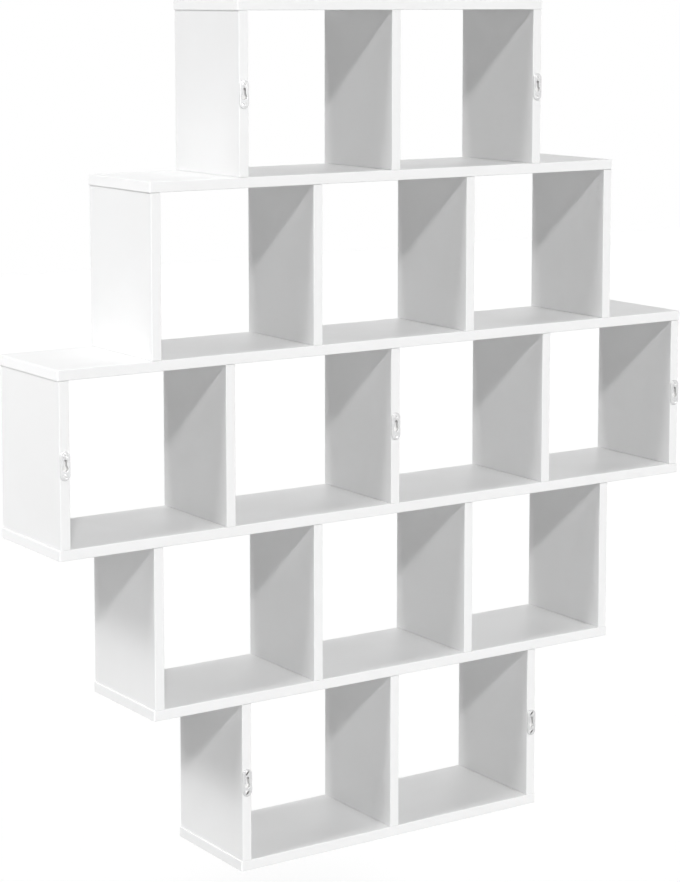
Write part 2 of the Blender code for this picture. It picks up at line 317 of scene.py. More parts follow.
def plated_metal(name, bright, dull, wear_and_rim_light, across, along, rough):
    """Plated steel: drawn strokes, a mottled bloom, rims lighter for wear and as a painted highlight, and
    painted shade in slots.
    """
    material, tree, shader = new_material(name, bright)
    place = add_node(tree, "ShaderNodeTexCoord").outputs["Object"]
    turned = add_node(tree, "ShaderNodeMapping", {"Vector": place, "Rotation": STROKES_UPRIGHT}).outputs[0]
    drawn = use_group(tree, strokes, Vector=turned, Across=across, Along=along)
    bloom = use_group(tree, haze, Vector=place, Patch_Size=0.004)
    arris = add_node(tree, "ShaderNodeAttribute", attribute_name="arris").outputs["Fac"]
    worn = use_group(tree, wear, Vector=place, Arris=arris, Patch_Size=0.002, Reach=0.75)
    deep = add_node(tree, "ShaderNodeAttribute", attribute_name="recess").outputs["Fac"]
    dust = add_node(tree, "ShaderNodeAttribute", attribute_name="dust").outputs["Fac"]
    # Painted shade: points in a slot that is marked for it are darkened.
    shaded_slot = calc(tree, "MULTIPLY", deep, dust)
    # The rims are lighter: partly wear, and partly a painted highlight that lifts their darker reflection.
    plating = blend(tree, worn["Worn"], blend(tree, bloom["Haze"], bright, dull), wear_and_rim_light)
    tree.links.new(blend(tree, shaded_slot, plating, SLOT_SHADE_COLOUR), shader.inputs["Base Color"])
    sheen = between(tree, drawn["Stroke"], low=rough - STROKE_SMOOTHER, high=rough + STROKE_ROUGHER)
    tree.links.new(sheen, shader.inputs["Roughness"])
    tree.links.new(relief(tree, drawn["Stroke"], strength=0.2, distance=0.00002), shader.inputs["Normal"])
    shader.inputs["Metallic"].default_value = 1.0
    print("finish:", material.name)
    return material


satin_plate = plated_metal(
    "satin_plate",
    bright=(0.66, 0.662, 0.665),
    dull=(0.6, 0.602, 0.606),
    wear_and_rim_light=(0.69, 0.69, 0.69),
    across=0.0003,
    along=0.01,
    rough=0.3,
)
bright_screw = plated_metal(
    "bright_screw",
    bright=(0.67, 0.67, 0.67),
    dull=(0.62, 0.62, 0.623),
    wear_and_rim_light=(0.73, 0.73, 0.73),
    across=0.0002,
    along=0.004,
    rough=0.32,
)

# %% [markdown]
# ## Boards
# Every board is the same thing at another size: a flat box whose arrises are rounded and whose edges carry
# a glued band, with a hairline seam where the band meets the sheet. A bevel could round each box by hand.
# A rule does all twenty-five: loops are set out by their distance from the edge, and each point is then
# pulled from its corner onto a round of the arris radius. Geometry Nodes hold that rule, with the sizes as
# inputs. A panel's two ends butt against shelves, so they stay square and bare.

# %% Rule for a banded board: inputs and loops
SEAM_LOOPS = 3
SEAM_MIDDLE = 1.0
FLAT_LOOPS = 1
HALVES = (0.5, 0.5, 0.5)
LESS_HALVES = (-0.5, -0.5, -0.5)
BOARD_INPUTS = [
    ("Geometry", "Geometry", None),
    ("Size", "Vector", (0.5, 0.176, 0.015)),
    ("Arris Radius", "Float", 0.001),
    ("Arris Steps", "Int", 3),
    ("Band Thickness", "Float", 0.002),
    ("Seam Width", "Float", 0.00016),
    ("Seam Depth", "Float", 0.00006),
    ("Ends Banded", "Bool", True),
    ("Turn", "Rotation", None),
    ("Place", "Vector", (0, 0, 0)),
    ("Sheet Material", "Material", None),
    ("Band Material", "Material", None),
    ("Cut Material", "Material", None),
]
rule, given, result = new_tree("banded_board", "GeometryNodeTree", BOARD_INPUTS, [("Geometry", "Geometry")])
radius = given["Arris Radius"]
steps = given["Arris Steps"]
band = given["Band Thickness"]

# From the middle out, a sheet has loops for the seam, an edge has one that keeps it flat, and both then have
# one for each step of the arris. Loops are counted from zero, and each side of the middle has its own. The
# box runs from -1 to 1, so the position of a point tells its loop.
long_top = calc(rule, "ADD", steps, SEAM_LOOPS)
thin_top = calc(rule, "ADD", steps, FLAT_LOOPS)
long_count = calc(rule, "MULTIPLY_ADD", long_top, 2.0, 2.0)
thin_count = calc(rule, "MULTIPLY_ADD", thin_top, 2.0, 2.0)
box = add_node(
    rule,
    "GeometryNodeMeshCube",
    {"Size": (2, 2, 2), "Vertices X": long_count, "Vertices Y": long_count, "Vertices Z": thin_count},
)
corner = add_node(rule, "GeometryNodeInputPosition").outputs[0]
spans = add_node(
    rule,
    "ShaderNodeCombineXYZ",
    {
        "X": calc(rule, "SUBTRACT", long_count, 1.0),
        "Y": calc(rule, "SUBTRACT", long_count, 1.0),
        "Z": calc(rule, "SUBTRACT", thin_count, 1.0),
    },
).outputs[0]
counted = vector_calc(rule, "MULTIPLY", vector_calc(rule, "ABSOLUTE", corner), spans)
loop_numbers = vector_calc(rule, "MULTIPLY_ADD", counted, HALVES, LESS_HALVES)
loop_of = add_node(rule, "ShaderNodeSeparateXYZ", {0: loop_numbers})
print("inputs:", len(BOARD_INPUTS))

# %% Rule for a banded board: distance of each loop from its edge
FLAT_MARGIN = 1.3


def either(tree, test, when_false, when_true):
    """One of two numbers, by a test."""
    inputs = {0: test, 1: when_false, 2: when_true}
    return add_node(tree, "GeometryNodeSwitch", inputs, input_type="FLOAT").outputs[0]


def arris_loop(top, loop):
    """Distance from the edge on the rounded part: the radius at its start, zero at the edge."""
    left = calc(rule, "DIVIDE", calc(rule, "SUBTRACT", top, loop), steps)
    return calc(rule, "MULTIPLY", radius, left)


def sheet_loop(loop):
    """Distance from the edge along a sheet: the seam's three loops, then the arris."""
    half_width = calc(rule, "MULTIPLY", given["Seam Width"], 0.5)
    beside = calc(rule, "MULTIPLY", calc(rule, "SUBTRACT", SEAM_MIDDLE, loop), half_width)
    seam = calc(rule, "ADD", band, beside)
    at_seam = calc(rule, "LESS_THAN", loop, SEAM_LOOPS - 0.5)
    return either(rule, at_seam, arris_loop(long_top, loop), seam)


def edge_loop(loop):
    """Distance from the edge through the thickness: a loop that keeps the band flat, then the arris."""
    flat = calc(rule, "MULTIPLY", radius, FLAT_MARGIN)
    at_flat = calc(rule, "LESS_THAN", loop, FLAT_LOOPS - 0.5)
    return either(rule, at_flat, arris_loop(thin_top, loop), flat)


inset = add_node(
    rule,
    "ShaderNodeCombineXYZ",
    {
        "X": sheet_loop(loop_of.outputs["X"]),
        "Y": sheet_loop(loop_of.outputs["Y"]),
        "Z": edge_loop(loop_of.outputs["Z"]),
    },
).outputs[0]
half = vector_calc(rule, "MULTIPLY", given["Size"], HALVES)
side = vector_calc(rule, "SIGN", corner)
boxed = vector_calc(rule, "MULTIPLY", side, vector_calc(rule, "SUBTRACT", half, inset))
print("nodes so far:", len(rule.nodes))

# %% Rule for a banded board: rounding and seam
NO_LENGTH = 1e-9
SAME_LOOP = 0.1

radii = add_node(rule, "ShaderNodeCombineXYZ", {0: radius, 1: radius, 2: radius}).outputs[0]
core_limit = vector_calc(rule, "SUBTRACT", half, radii)
core_reach = vector_calc(rule, "MINIMUM", vector_calc(rule, "ABSOLUTE", boxed), core_limit)
core = vector_calc(rule, "MULTIPLY", side, core_reach)
core_parts = add_node(rule, "ShaderNodeSeparateXYZ", {0: core}).outputs
boxed_parts = add_node(rule, "ShaderNodeSeparateXYZ", {0: boxed}).outputs
core_x = either(rule, given["Ends Banded"], boxed_parts["X"], core_parts["X"])
core = add_node(rule, "ShaderNodeCombineXYZ", {0: core_x, 1: core_parts["Y"], 2: core_parts["Z"]}).outputs[0]
away = vector_calc(rule, "SUBTRACT", boxed, core)
parts = add_node(rule, "ShaderNodeSeparateXYZ", {0: vector_calc(rule, "ABSOLUTE", away)}).outputs
largest = calc(rule, "MAXIMUM", calc(rule, "MAXIMUM", parts["X"], parts["Y"]), parts["Z"])
smallest = calc(rule, "MINIMUM", calc(rule, "MINIMUM", parts["X"], parts["Y"]), parts["Z"])
total = calc(rule, "ADD", calc(rule, "ADD", parts["X"], parts["Y"]), parts["Z"])
middle = calc(rule, "SUBTRACT", calc(rule, "SUBTRACT", total, largest), smallest)
length = add_node(rule, "ShaderNodeVectorMath", {0: away}, operation="LENGTH").outputs["Value"]
pull = calc(rule, "DIVIDE", largest, calc(rule, "MAXIMUM", length, NO_LENGTH))
pulled = add_node(rule, "ShaderNodeVectorMath", {0: away, "Scale": pull}, operation="SCALE").outputs[0]
rounded = vector_calc(rule, "ADD", core, pulled)

end_loop = either(rule, given["Ends Banded"], long_top, loop_of.outputs["X"])
nearest = calc(rule, "MINIMUM", end_loop, loop_of.outputs["Y"])
on_seam = calc(rule, "COMPARE", nearest, SEAM_MIDDLE, SAME_LOOP)
on_sheet = calc(rule, "COMPARE", loop_of.outputs["Z"], thin_top, SAME_LOOP)
sink = calc(rule, "MULTIPLY", calc(rule, "MULTIPLY", on_seam, on_sheet), given["Seam Depth"])
side_parts = add_node(rule, "ShaderNodeSeparateXYZ", {0: side}).outputs
drop = add_node(rule, "ShaderNodeCombineXYZ", {2: calc(rule, "MULTIPLY", side_parts["Z"], sink)}).outputs[0]
surface = vector_calc(rule, "SUBTRACT", rounded, drop)
print("nodes so far:", len(rule.nodes))

# %% Rule for a banded board: attributes, place and materials
AT_SURFACE = 1e-6
FAR_AWAY = 1.0


def store(geometry, name, value, kind):
    """Keeps a value on every point for the materials to read."""
    inputs = {"Geometry": geometry, "Name": name, "Value": value}
    kept = add_node(rule, "GeometryNodeStoreNamedAttribute", inputs, data_type=kind, domain="POINT")
    return kept.outputs[0]


shaped = add_node(
    rule, "GeometryNodeSetPosition", {"Geometry": box.outputs["Mesh"], "Position": surface}
).outputs[0]
shaped = store(shaped, "arris", calc(rule, "DIVIDE", middle, radius), "FLOAT")
shaped = store(shaped, "board_place", surface, "FLOAT_VECTOR")
dressed = add_node(
    rule,
    "GeometryNodeTransform",
    {"Geometry": shaped, "Translation": given["Place"], "Rotation": given["Turn"]},
).outputs[0]

on_board = add_node(
    rule, "GeometryNodeInputNamedAttribute", {"Name": "board_place"}, data_type="FLOAT_VECTOR"
).outputs[0]
to_edge = vector_calc(rule, "SUBTRACT", half, vector_calc(rule, "ABSOLUTE", on_board))
from_edge = add_node(rule, "ShaderNodeSeparateXYZ", {0: to_edge}).outputs
from_end = either(rule, given["Ends Banded"], FAR_AWAY, from_edge["X"])
banded = calc(rule, "LESS_THAN", calc(rule, "MINIMUM", from_end, from_edge["Y"]), band)
at_end = calc(rule, "LESS_THAN", from_edge["X"], AT_SURFACE)
bare_end = calc(rule, "MULTIPLY", at_end, either(rule, given["Ends Banded"], 1.0, 0.0))

choices = (("Sheet Material", True), ("Band Material", banded), ("Cut Material", bare_end))
for material, choice in choices:
    inputs = {"Geometry": dressed, "Selection": choice, "Material": given[material]}
    dressed = add_node(rule, "GeometryNodeSetMaterial", inputs).outputs[0]
rule.links.new(dressed, result["Geometry"])
print("rule:", rule.name, "with", len(rule.nodes), "nodes")

# %% Turn a rule into a plain mesh
SHARP_ANGLE = math.radians(32)


def plain_mesh(obj, name):
    """The evaluated mesh of an object, smooth apart from its sharp corners. The object is removed."""
    graph = bpy.context.evaluated_depsgraph_get()
    evaluated = obj.evaluated_get(graph)
    mesh = bpy.data.meshes.new_from_object(evaluated, preserve_all_data_layers=True, depsgraph=graph)
    mesh.name = name
    mesh.shade_smooth()
    mesh.set_sharp_from_angle(angle=SHARP_ANGLE)
    bpy.data.objects.remove(obj, do_unlink=True)
    return mesh


def follow_rule(tree, name, seed_mesh, **values):
    """A mesh made by a Geometry Nodes tree. Underscores in the names of its inputs stand for spaces."""
    obj = bpy.data.objects.new(name, seed_mesh)
    bpy.context.collection.objects.link(obj)
    modifier = obj.modifiers.new("rule", "NODES")
    modifier.node_group = tree
    inputs = [item for item in tree.interface.items_tree if item.in_out == "INPUT"]
    sockets = {item.name: item.identifier for item in inputs}
    for title, value in values.items():
        modifier[sockets[title.replace("_", " ")]] = value
    return plain_mesh(obj, name)


def show(mesh, slot, *nodes):
    """Puts a finished mesh in the scene, in place of the nodes that it stands for."""
    piece = bpy.data.objects.new(mesh.name, mesh)
    bpy.context.collection.objects.link(piece)
    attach(piece, "root")
    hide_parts(*nodes)
    return piece


# %% [markdown]
# ## Shelves
# The shelves lie flat, so each takes its size and place from its node's box. That box has the 2 mm by which a
# shelf overhangs the end panels, which shows as a small step at every corner. All four edges are banded.

# %% Shelves
BOARD_MATERIALS = {
    "Sheet_Material": white_melamine,
    "Band_Material": white_edge_band,
    "Cut_Material": sealed_chip,
}
SHELVES = [
    "top_shelf",
    "upper_step_shelf",
    "upper_wide_shelf",
    "lower_wide_shelf",
    "lower_step_shelf",
    "bottom_shelf",
]


def corners_of(node):
    """The low and the high corner of a node's box."""
    low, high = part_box(node)
    return Vector(low), Vector(high)


def board(name, size, place, turn, ends_banded):
    """One board by the rule. Its length runs along its own X."""
    blank = bpy.data.meshes.new(name + "_blank")
    return follow_rule(
        rule,
        name,
        blank,
        Size=tuple(size),
        Place=tuple(place),
        Turn=turn,
        Ends_Banded=ends_banded,
        **BOARD_MATERIALS,
    )


shelf_boxes = {}
for node in SHELVES:
    low, high = corners_of(node)
    shelf_boxes[node] = (low, high)
    lying = board(node + "_board", high - low, (low + high) / 2, (0, 0, 0), True)
    show(lying, "white_board", node)
    print(node, [round(1000 * side, 1) for side in high - low], "faces", len(lying.polygons))

# %% [markdown]
# ## Uprights
# A panel's node also holds its dowels, which reach into the shelves, so its box is too tall. Its real length
# is the clear height between two shelves less a hairline at both ends. That hairline shows as a thin dark
# joint, and the shelf's overhang shades it on the end panels. Seven panels are routed behind their keyholes,
# where the head of the wall screw goes.

# %% Pocket behind a keyhole
POCKET_WIDTH = 0.010
POCKET_LENGTH = 0.020
POCKET_RISE = 0.0015
POCKET_DEPTH = 0.0025
POCKET_STEPS = 12


def routed_pocket(place):
    """Cutter for the pocket behind a keyhole: an upright slot with round ends, driven into the edge."""
    bm = bmesh.new()
    reach = (POCKET_LENGTH - POCKET_WIDTH) / 2
    rim = []
    for centre, start in ((reach, 0), (-reach, math.pi)):
        for step in range(POCKET_STEPS + 1):
            angle = start + math.pi * step / POCKET_STEPS
            x = POCKET_WIDTH / 2 * math.cos(angle)
            z = centre + POCKET_WIDTH / 2 * math.sin(angle)
            rim.append(bm.verts.new((place.x + x, place.y + POCKET_DEPTH, place.z + z)))
    floor = bm.faces.new(rim)
    deep = bmesh.ops.extrude_face_region(bm, geom=[floor])
    moved = [item for item in deep["geom"] if isinstance(item, bmesh.types.BMVert)]
    bmesh.ops.translate(bm, vec=(0, -2 * POCKET_DEPTH, 0), verts=moved)
    bmesh.ops.recalc_face_normals(bm, faces=bm.faces)
    mesh = bpy.data.meshes.new("routed_pocket")
    bm.to_mesh(mesh)
    bm.free()
    mesh.materials.append(sealed_chip)
    cutter = bpy.data.objects.new("routed_pocket", mesh)
    bpy.context.collection.objects.link(cutter)
    return cutter


def routed(mesh, cutter):
    """A mesh with a pocket or a slot cut into it. The cutter is removed."""
    obj = bpy.data.objects.new(mesh.name, mesh)
    bpy.context.collection.objects.link(obj)
    cut = obj.modifiers.new("cut", "BOOLEAN")
    cut.object = cutter
    cut.operation = "DIFFERENCE"
    cut.solver = "EXACT"
    cut.material_mode = "TRANSFER"
    finished = plain_mesh(obj, mesh.name)
    bpy.data.objects.remove(cutter, do_unlink=True)
    return finished


print("pocket:", [round(1000 * size, 1) for size in (POCKET_WIDTH, POCKET_LENGTH, POCKET_DEPTH)], "mm")

# %% Uprights
JOINT_GAP = 0.0003
UPRIGHT = (0, -math.pi / 2, 0)
ROWS = ["top_row", "upper_step_row", "wide_row", "lower_step_row", "bottom_row"]

panels = [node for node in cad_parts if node.rsplit("_", 1)[-1] in ("end", "divider")]
hangers = [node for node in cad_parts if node.endswith("_hanger")]

for node in panels:
    row = next(index for index, name in enumerate(ROWS) if node.startswith(name))
    low, high = corners_of(node)
    top = shelf_boxes[SHELVES[row]][0].z - JOINT_GAP
    foot = shelf_boxes[SHELVES[row + 1]][1].z + JOINT_GAP
    size = (top - foot, high.y - low.y, high.x - low.x)
    place = Vector(((low.x + high.x) / 2, (low.y + high.y) / 2, (top + foot) / 2))
    standing = board(node + "_board", size, place, UPRIGHT, False)
    if node + "_hanger" in hangers:
        mouth = Vector((place.x, high.y, place.z + POCKET_RISE))
        standing = routed(standing, routed_pocket(mouth))
    show(standing, "white_board", node)
print("uprights:", len(panels), "of which routed:", len(hangers))

# %% [markdown]
# ## Hanger plates
# Each hanger is a pressed steel plate with round ends, a keyhole and two countersunk holes. Its outlines are
# arcs and straight lines, so every loop of the mesh is drawn from the same few sizes, grown or shrunk by the
# rounding of the rim. Geometry Nodes then set the one plate out on seven points.

# %% Outlines of the plate
PLATE_WIDTH = 0.0148
PLATE_HEIGHT = 0.040
PLATE_THICKNESS = 0.0016
PLATE_ROUNDING = 0.0004
ENTRY_DIAMETER = 0.0086
ENTRY_HEIGHT = -0.0035
SLOT_WIDTH = 0.005
SLOT_TRAVEL = 0.010
SCREW_SPACING = 0.029
SINK_RADIUS = 0.0038
SHANK_ROOM = 0.0018
HEAD_HEIGHT = 0.0015
EASED = 0.00015
BORDER = 0.0004
ROUND_STEPS = 4
ARC_STEPS = 24


def arc(centre, radius, start, end, steps):
    """Points of an arc about (0, centre), anticlockwise."""
    turns = [start + (end - start) * step / steps for step in range(steps + 1)]
    return [(radius * math.cos(turn), centre + radius * math.sin(turn)) for turn in turns]


def plate_outline(shrink):
    """The plate's rim: a straight-sided slot shape, drawn in by a little."""
    reach = (PLATE_HEIGHT - PLATE_WIDTH) / 2
    radius = PLATE_WIDTH / 2 - shrink
    return arc(reach, radius, 0, math.pi, ARC_STEPS) + arc(-reach, radius, math.pi, 2 * math.pi, ARC_STEPS)


def keyhole_outline(grow):
    """The round entry with the slot over it, opened out by a little."""
    slot = SLOT_WIDTH / 2 + grow
    entry = ENTRY_DIAMETER / 2 + grow
    mouth = math.asin(slot / entry)
    upper = arc(ENTRY_HEIGHT + SLOT_TRAVEL, slot, 0, math.pi, ARC_STEPS // 2)
    return upper + arc(ENTRY_HEIGHT, entry, math.pi / 2 + mouth, 5 * math.pi / 2 - mouth, ARC_STEPS)


def hole_outline(centre, radius):
    """A round hole. Its last point would repeat the first."""
    return arc(centre, radius, 0, 2 * math.pi, ARC_STEPS)[:-1]


def rounding(radius):
    """Pairs of a sideways step and a depth, from a flat face round to an upright wall."""
    turns = [math.pi / 2 * step / ROUND_STEPS for step in range(ROUND_STEPS + 1)]
    return [(radius * (1 - math.sin(turn)), radius * (1 - math.cos(turn))) for turn in turns]


print("points on the rim:", len(plate_outline(0)), "and on the keyhole:", len(keyhole_outline(0)))

# %% Mesh of the plate
FACING_WALL = Matrix.Rotation(math.pi, 4, "Z") @ Matrix.Rotation(math.pi / 2, 4, "X")


def wall_between(bm, loops):
    """Joins a row of loops into a wall. Returns the edges of its first and last loop, and all its rings."""
    rings = [[bm.verts.new(point) for point in loop] for loop in loops]
    for upper, lower in zip(rings, rings[1:]):
        for index in range(len(upper)):
            after = (index + 1) % len(upper)
            bm.faces.new((upper[index], upper[after], lower[after], lower[index]))
    ends = []
    for ring in (rings[0], rings[-1]):
        ends.append([bm.edges.get((ring[index], ring[index - 1])) for index in range(len(ring))])
    return ends, rings


def lowered(outline, depth):
    """A flat outline, placed below the plate's outer face."""
    return [(x, y, -depth) for x, y in outline]


def plate_walls():
    """Rows of loops, each from the flat face over a rim and down to the back."""
    rim = [lowered(plate_outline(PLATE_ROUNDING + BORDER), 0)]
    rim += [lowered(plate_outline(step), depth) for step, depth in rounding(PLATE_ROUNDING)]
    rim.append(lowered(plate_outline(0), PLATE_THICKNESS))
    opening = [lowered(keyhole_outline(EASED + BORDER), 0)]
    opening += [lowered(keyhole_outline(step), depth) for step, depth in rounding(EASED)]
    opening.append(lowered(keyhole_outline(0), PLATE_THICKNESS))
    walls = [rim, opening]
    sink = [
        (SINK_RADIUS + EASED / 2 + BORDER, 0),
        (SINK_RADIUS + EASED / 2, 0),
        (SINK_RADIUS, EASED),
        (SHANK_ROOM, HEAD_HEIGHT),
        (SHANK_ROOM, PLATE_THICKNESS),
    ]
    for centre in (SCREW_SPACING / 2, -SCREW_SPACING / 2):
        walls.append([lowered(hole_outline(centre, radius), depth) for radius, depth in sink])
    return walls


def plate_mesh():
    """The plate, with its rims marked for wear and a painted highlight."""
    bm = bmesh.new()
    arris = bm.verts.layers.float.new("arris")
    faces = [[], []]
    for wall in plate_walls():
        ends, rings = wall_between(bm, wall)
        faces[0] += ends[0]
        faces[1] += ends[1]
        for vertex in rings[1] + rings[2]:
            vertex[arris] = 1.0
    for edges in faces:
        bmesh.ops.triangle_fill(bm, edges=edges, use_beauty=True)
    bmesh.ops.recalc_face_normals(bm, faces=bm.faces)
    mesh = bpy.data.meshes.new("hanger_plate")
    bm.to_mesh(mesh)
    bm.free()
    mesh.transform(FACING_WALL)
    return mesh


plate_template = bpy.data.objects.new("hanger_plate", plate_mesh())
print("plate faces:", len(plate_template.data.polygons))

# %% [markdown]
# ## Setting out repeated pieces
# The same small tree serves plates and screws: an instance of a pattern piece on every point, made real,
# with its finish. The points come from the nodes that the pieces stand for. Each point also carries the turn
# of its piece and the painted shade in its slots, because the bottom row's screws differ in both from the
# others.

# %% Rule for setting out
set_out, given, result = new_tree(
    "set_out_on_points",
    "GeometryNodeTree",
    [("Geometry", "Geometry", None), ("Pattern", "Object", None), ("Finish", "Material", None)],
    [("Geometry", "Geometry")],
)
pattern = add_node(
    set_out, "GeometryNodeObjectInfo", {"Object": given["Pattern"], "As Instance": True}
).outputs["Geometry"]
turn = add_node(
    set_out, "GeometryNodeInputNamedAttribute", {"Name": "turn"}, data_type="FLOAT"
).outputs["Attribute"]
turned = add_node(set_out, "FunctionNodeAxisAngleToRotation", {"Axis": (0, 1, 0), "Angle": turn}).outputs[0]
copies = add_node(
    set_out,
    "GeometryNodeInstanceOnPoints",
    {"Points": given["Geometry"], "Instance": pattern, "Rotation": turned},
).outputs[0]
real = add_node(set_out, "GeometryNodeRealizeInstances", {0: copies}).outputs[0]
finished = add_node(
    set_out, "GeometryNodeSetMaterial", {"Geometry": real, "Material": given["Finish"]}
).outputs[0]
set_out.links.new(finished, result["Geometry"])
print("rule:", set_out.name, "with", len(set_out.nodes), "nodes")


def wall_side_middle(node):
    """The middle of the face of a node's box that is next to the wall."""
    low, high = corners_of(node)
    return (low.x + high.x) / 2, high.y, (low.z + high.z) / 2


def points_mesh(name, places, turns, dust):
    """Points, each with the turn of the piece that stands on it and the painted shade in its slots."""
    mesh = bpy.data.meshes.new(name)
    mesh.from_pydata(places, [], [])
    mesh.attributes.new("turn", "FLOAT", "POINT").data.foreach_set("value", turns)
    mesh.attributes.new("dust", "FLOAT", "POINT").data.foreach_set("value", dust)
    return mesh


def repeat(name, pattern_object, points, finish, slot, nodes):
    """Copies of a pattern piece on points, as one piece that stands for all their nodes."""
    bpy.context.collection.objects.link(pattern_object)
    mesh = follow_rule(set_out, name, points, Pattern=pattern_object, Finish=finish)
    bpy.data.objects.remove(pattern_object, do_unlink=True)
    print(name, "on", len(nodes), "points, faces", len(mesh.polygons))
    return show(mesh, slot, *nodes)


# %% Hanger plates
plate_places = [wall_side_middle(node) for node in hangers]
nothing = [0.0] * len(hangers)
plate_points = points_mesh("plate_points", plate_places, nothing, nothing)
repeat("hanger_plates", plate_template, plate_points, satin_plate, "hanger_steel", hangers)

# %% [markdown]
# ## Screws
# Two slotted countersunk screws hold each plate. The screw is turned from its profile, slotted with a cutter
# whose mouth is flared so that the slot's edges are eased, and given a real thread. Only the heads show. The
# slots lean one way in the upper rows and the other way in the bottom row, where they are painted dark as
# shade.

# %% Body of the screw
HEAD_RADIUS = 0.0035
HEAD_RING = 0.55
HEAD_RIM = 0.0002
RIM_BOW = 0.3
NECK_DROP = 0.0001
SHANK_RADIUS = 0.00125
SCREW_LENGTH = 0.016
SCREW_POINT = 0.003
TURN_STEPS = 48
SAME_POINT = 1e-6


def turned_body(bm):
    """The head, shank and point, spun from half a profile."""
    ease = HEAD_RIM / 2
    profile = [
        (0, 0),
        (HEAD_RADIUS * HEAD_RING, 0),
        (HEAD_RADIUS - ease, 0),
        (HEAD_RADIUS - ease * RIM_BOW, -ease * RIM_BOW),
        (HEAD_RADIUS, -ease),
        (HEAD_RADIUS, -HEAD_RIM),
        (SHANK_RADIUS, -HEAD_HEIGHT - NECK_DROP),
        (SHANK_RADIUS, SCREW_POINT - SCREW_LENGTH),
        (0, -SCREW_LENGTH),
    ]
    points = [bm.verts.new((radius, 0, height)) for radius, height in profile]
    edges = [bm.edges.new(pair) for pair in zip(points, points[1:])]
    bmesh.ops.spin(
        bm, geom=points + edges, axis=(0, 0, 1), cent=(0, 0, 0), angle=2 * math.pi, steps=TURN_STEPS
    )
    bmesh.ops.remove_doubles(bm, verts=bm.verts, dist=SAME_POINT)
    bmesh.ops.recalc_face_normals(bm, faces=bm.faces)


print("screw length:", round(1000 * SCREW_LENGTH, 1), "mm, head:", round(2000 * HEAD_RADIUS, 1), "mm")

# %% Thread of the screw
THREAD_RADIUS = 0.00175
THREAD_PITCH = 0.0013
THREAD_STEPS = 14
THREAD_START = 0.001
THREAD_ROOT = 0.9
THREAD_FLANK = 0.3


def thread(bm):
    """A sharp ridge wound round the shank, running out at both ends."""
    start = -HEAD_HEIGHT - THREAD_START
    turns = (SCREW_LENGTH - SCREW_POINT + start) / THREAD_PITCH
    count = round(turns * THREAD_STEPS)
    rings = []
    for step in range(count + 1):
        turn = 2 * math.pi * step / THREAD_STEPS
        height = start - THREAD_PITCH * step / THREAD_STEPS
        fade = min(1, step / THREAD_STEPS, (count - step) / THREAD_STEPS)
        crest = SHANK_RADIUS + (THREAD_RADIUS - SHANK_RADIUS) * fade
        foot = SHANK_RADIUS * THREAD_ROOT
        ring = []
        for radius, rise in ((foot, THREAD_FLANK), (crest, 0), (foot, -THREAD_FLANK)):
            x = radius * math.cos(turn)
            y = radius * math.sin(turn)
            ring.append(bm.verts.new((x, y, height + rise * THREAD_PITCH)))
        rings.append(ring)
    for ring, after in zip(rings, rings[1:]):
        for index in range(len(ring)):
            beside = (index + 1) % len(ring)
            bm.faces.new((ring[index], ring[beside], after[beside], after[index]))
    bm.faces.new(rings[0][::-1])
    bm.faces.new(rings[-1])


print("thread pitch:", round(1000 * THREAD_PITCH, 1), "mm")

# %% Slot of the screw
SLOT_CUT = 0.0012
SLOT_DEEP = 0.0008
SLOT_FLARE = 0.00008


def slot_cutter():
    """A long prism across the head, flared where it meets the head's face."""
    bm = bmesh.new()
    half = SLOT_CUT / 2
    section = [
        (-half, -SLOT_DEEP),
        (half, -SLOT_DEEP),
        (half, -SLOT_FLARE),
        (half + 2 * SLOT_FLARE, SLOT_FLARE),
        (-half - 2 * SLOT_FLARE, SLOT_FLARE),
        (-half, -SLOT_FLARE),
    ]
    near = bm.faces.new([bm.verts.new((-2 * HEAD_RADIUS, y, z)) for y, z in section])
    far = bmesh.ops.extrude_face_region(bm, geom=[near])
    moved = [item for item in far["geom"] if isinstance(item, bmesh.types.BMVert)]
    bmesh.ops.translate(bm, vec=(4 * HEAD_RADIUS, 0, 0), verts=moved)
    bmesh.ops.recalc_face_normals(bm, faces=bm.faces)
    mesh = bpy.data.meshes.new("slot_cutter")
    bm.to_mesh(mesh)
    bm.free()
    cutter = bpy.data.objects.new("slot_cutter", mesh)
    bpy.context.collection.objects.link(cutter)
    return cutter


print("slot:", round(1000 * SLOT_CUT, 1), "mm wide,", round(1000 * SLOT_DEEP, 1), "mm deep")

# %% Finished screw
# From here out the head's rim is lighter, for wear and as a painted highlight.
RIM_FROM = 0.9
# How far a slot's painted shade reaches across it and down into the head.
SLOT_SHADE_REACH = SLOT_CUT / 2 + 1.5 * SLOT_FLARE
SLOT_SHADE_DEPTH = 2 * SLOT_DEEP


def screw_mesh():
    """The screw, with its rim marked for wear and a painted highlight, and its slot for painted shade."""
    bm = bmesh.new()
    turned_body(bm)
    mesh = bpy.data.meshes.new("hanger_screw")
    bm.to_mesh(mesh)
    bm.free()
    slotted = routed(mesh, slot_cutter())
    bm = bmesh.new()
    bm.from_mesh(slotted)
    arris = bm.verts.layers.float.new("arris")
    recess = bm.verts.layers.float.new("recess")
    for vertex in bm.verts:
        in_slot = abs(vertex.co.y) < SLOT_SHADE_REACH and vertex.co.z > -SLOT_SHADE_DEPTH
        vertex[arris] = 1.0 if vertex.co.xy.length > RIM_FROM * HEAD_RADIUS else 0.0
        vertex[recess] = 1.0 if in_slot else 0.0
    thread(bm)
    bm.to_mesh(slotted)
    bm.free()
    slotted.transform(FACING_WALL)
    slotted.shade_smooth()
    slotted.set_sharp_from_angle(angle=SHARP_ANGLE)
    return slotted


screw_template = bpy.data.objects.new("hanger_screw", screw_mesh())
print("screw faces:", len(screw_template.data.polygons))

# %% Screws in their plates
SLOT_ANGLES = {"top": math.radians(135), "wide": math.radians(135), "bottom": math.radians(45)}
